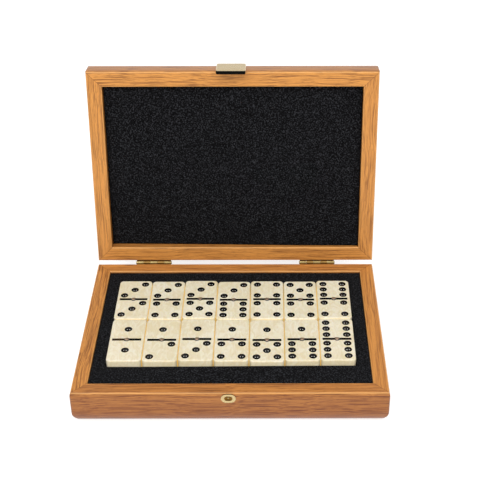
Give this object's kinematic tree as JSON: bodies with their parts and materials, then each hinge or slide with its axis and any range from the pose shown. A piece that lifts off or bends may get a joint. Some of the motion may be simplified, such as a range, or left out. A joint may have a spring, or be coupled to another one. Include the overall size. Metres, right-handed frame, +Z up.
{
  "type": "domino storage box",
  "caption": "Hinged wooden storage box with a snap clasp and a foam tray that holds a domino set in two layers.",
  "frame": {"origin": "centre of the base's underside, on the surface that the box stands on", "axes": "+X along the box to the right, +Y to the back where the hinges are, +Z up; the lid is stored open"},
  "size_m": [0.2412, 0.2257, 0.2051],
  "materials": {
    "wood": "satin oiled hardwood moulding",
    "panel": "satin veneered panel",
    "foam": "matt black closed-cell foam",
    "brass": "polished brass plate",
    "spring_steel": "bright spring steel",
    "domino": "polished ivory-coloured resin"
  },
  "bodies": {
    "base": {"base_rail_front": "wood", "base_rail_back": "wood", "base_rail_left": "wood", "base_rail_right": "wood", "base_panel": "panel", "foam_floor": "foam", "foam_tray": "foam", "hinge_leaf_base_left": "brass", "hinge_leaf_base_right": "brass", "hinge_pins": "brass", "hinge_screws_base": "brass", "strike_plate": "brass", "strike_nail": "brass"},
    "lid": {"lid_rail_front": "wood", "lid_rail_back": "wood", "lid_rail_left": "wood", "lid_rail_right": "wood", "lid_panel": "panel", "lid_foam": "foam", "hinge_leaf_lid_left": "brass", "hinge_leaf_lid_right": "brass", "hinge_screws_lid": "brass", "clasp_plate": "brass", "clasp_nails": "brass", "clasp_housing": "brass", "clasp_tongue": "spring_steel"},
    "domino_2_2": {"domino_2_2": "domino"},
    "domino_1_1": {"domino_1_1": "domino"},
    "domino_2_3": {"domino_2_3": "domino"},
    "domino_1_2": {"domino_1_2": "domino"},
    "domino_2_4": {"domino_2_4": "domino"},
    "domino_1_3": {"domino_1_3": "domino"},
    "domino_2_5": {"domino_2_5": "domino"},
    "domino_1_4": {"domino_1_4": "domino"},
    "domino_2_6": {"domino_2_6": "domino"},
    "domino_1_5": {"domino_1_5": "domino"},
    "domino_5_5": {"domino_5_5": "domino"},
    "domino_1_6": {"domino_1_6": "domino"},
    "domino_5_6": {"domino_5_6": "domino"},
    "domino_6_6": {"domino_6_6": "domino"},
    "domino_0_0": {"domino_0_0": "domino"},
    "domino_3_3": {"domino_3_3": "domino"},
    "domino_0_1": {"domino_0_1": "domino"},
    "domino_3_4": {"domino_3_4": "domino"},
    "domino_0_2": {"domino_0_2": "domino"},
    "domino_3_5": {"domino_3_5": "domino"},
    "domino_0_3": {"domino_0_3": "domino"},
    "domino_3_6": {"domino_3_6": "domino"},
    "domino_0_4": {"domino_0_4": "domino"},
    "domino_4_4": {"domino_4_4": "domino"},
    "domino_0_5": {"domino_0_5": "domino"},
    "domino_4_5": {"domino_4_5": "domino"},
    "domino_0_6": {"domino_0_6": "domino"},
    "domino_4_6": {"domino_4_6": "domino"}
  },
  "joints": [
    {"name": "lid_hinge", "type": "hinge", "parent": "base", "child": "lid", "pos_m": [0, 0.0869, 0.03], "axis": [-1, 0, 0], "range_deg": [-99, 0]},
    {"name": "lift_domino_2_2", "type": "slide", "parent": "base", "child": "domino_2_2", "axis": [0, 0, 1], "range_m": [0, 0.03]},
    {"name": "lift_domino_1_1", "type": "slide", "parent": "domino_2_2", "child": "domino_1_1", "axis": [0, 0, 1], "range_m": [0, 0.03]},
    {"name": "lift_domino_2_3", "type": "slide", "parent": "base", "child": "domino_2_3", "axis": [0, 0, 1], "range_m": [0, 0.03]},
    {"name": "lift_domino_1_2", "type": "slide", "parent": "domino_2_3", "child": "domino_1_2", "axis": [0, 0, 1], "range_m": [0, 0.03]},
    {"name": "lift_domino_2_4", "type": "slide", "parent": "base", "child": "domino_2_4", "axis": [0, 0, 1], "range_m": [0, 0.03]},
    {"name": "lift_domino_1_3", "type": "slide", "parent": "domino_2_4", "child": "domino_1_3", "axis": [0, 0, 1], "range_m": [0, 0.03]},
    {"name": "lift_domino_2_5", "type": "slide", "parent": "base", "child": "domino_2_5", "axis": [0, 0, 1], "range_m": [0, 0.03]},
    {"name": "lift_domino_1_4", "type": "slide", "parent": "domino_2_5", "child": "domino_1_4", "axis": [0, 0, 1], "range_m": [0, 0.03]},
    {"name": "lift_domino_2_6", "type": "slide", "parent": "base", "child": "domino_2_6", "axis": [0, 0, 1], "range_m": [0, 0.03]},
    {"name": "lift_domino_1_5", "type": "slide", "parent": "domino_2_6", "child": "domino_1_5", "axis": [0, 0, 1], "range_m": [0, 0.03]},
    {"name": "lift_domino_5_5", "type": "slide", "parent": "base", "child": "domino_5_5", "axis": [0, 0, 1], "range_m": [0, 0.03]},
    {"name": "lift_domino_1_6", "type": "slide", "parent": "domino_5_5", "child": "domino_1_6", "axis": [0, 0, 1], "range_m": [0, 0.03]},
    {"name": "lift_domino_5_6", "type": "slide", "parent": "base", "child": "domino_5_6", "axis": [0, 0, 1], "range_m": [0, 0.03]},
    {"name": "lift_domino_6_6", "type": "slide", "parent": "domino_5_6", "child": "domino_6_6", "axis": [0, 0, 1], "range_m": [0, 0.03]},
    {"name": "lift_domino_0_0", "type": "slide", "parent": "base", "child": "domino_0_0", "axis": [0, 0, 1], "range_m": [0, 0.03]},
    {"name": "lift_domino_3_3", "type": "slide", "parent": "domino_0_0", "child": "domino_3_3", "axis": [0, 0, 1], "range_m": [0, 0.03]},
    {"name": "lift_domino_0_1", "type": "slide", "parent": "base", "child": "domino_0_1", "axis": [0, 0, 1], "range_m": [0, 0.03]},
    {"name": "lift_domino_3_4", "type": "slide", "parent": "domino_0_1", "child": "domino_3_4", "axis": [0, 0, 1], "range_m": [0, 0.03]},
    {"name": "lift_domino_0_2", "type": "slide", "parent": "base", "child": "domino_0_2", "axis": [0, 0, 1], "range_m": [0, 0.03]},
    {"name": "lift_domino_3_5", "type": "slide", "parent": "domino_0_2", "child": "domino_3_5", "axis": [0, 0, 1], "range_m": [0, 0.03]},
    {"name": "lift_domino_0_3", "type": "slide", "parent": "base", "child": "domino_0_3", "axis": [0, 0, 1], "range_m": [0, 0.03]},
    {"name": "lift_domino_3_6", "type": "slide", "parent": "domino_0_3", "child": "domino_3_6", "axis": [0, 0, 1], "range_m": [0, 0.03]},
    {"name": "lift_domino_0_4", "type": "slide", "parent": "base", "child": "domino_0_4", "axis": [0, 0, 1], "range_m": [0, 0.03]},
    {"name": "lift_domino_4_4", "type": "slide", "parent": "domino_0_4", "child": "domino_4_4", "axis": [0, 0, 1], "range_m": [0, 0.03]},
    {"name": "lift_domino_0_5", "type": "slide", "parent": "base", "child": "domino_0_5", "axis": [0, 0, 1], "range_m": [0, 0.03]},
    {"name": "lift_domino_4_5", "type": "slide", "parent": "domino_0_5", "child": "domino_4_5", "axis": [0, 0, 1], "range_m": [0, 0.03]},
    {"name": "lift_domino_0_6", "type": "slide", "parent": "base", "child": "domino_0_6", "axis": [0, 0, 1], "range_m": [0, 0.03]},
    {"name": "lift_domino_4_6", "type": "slide", "parent": "domino_0_6", "child": "domino_4_6", "axis": [0, 0, 1], "range_m": [0, 0.03]}
  ]
}
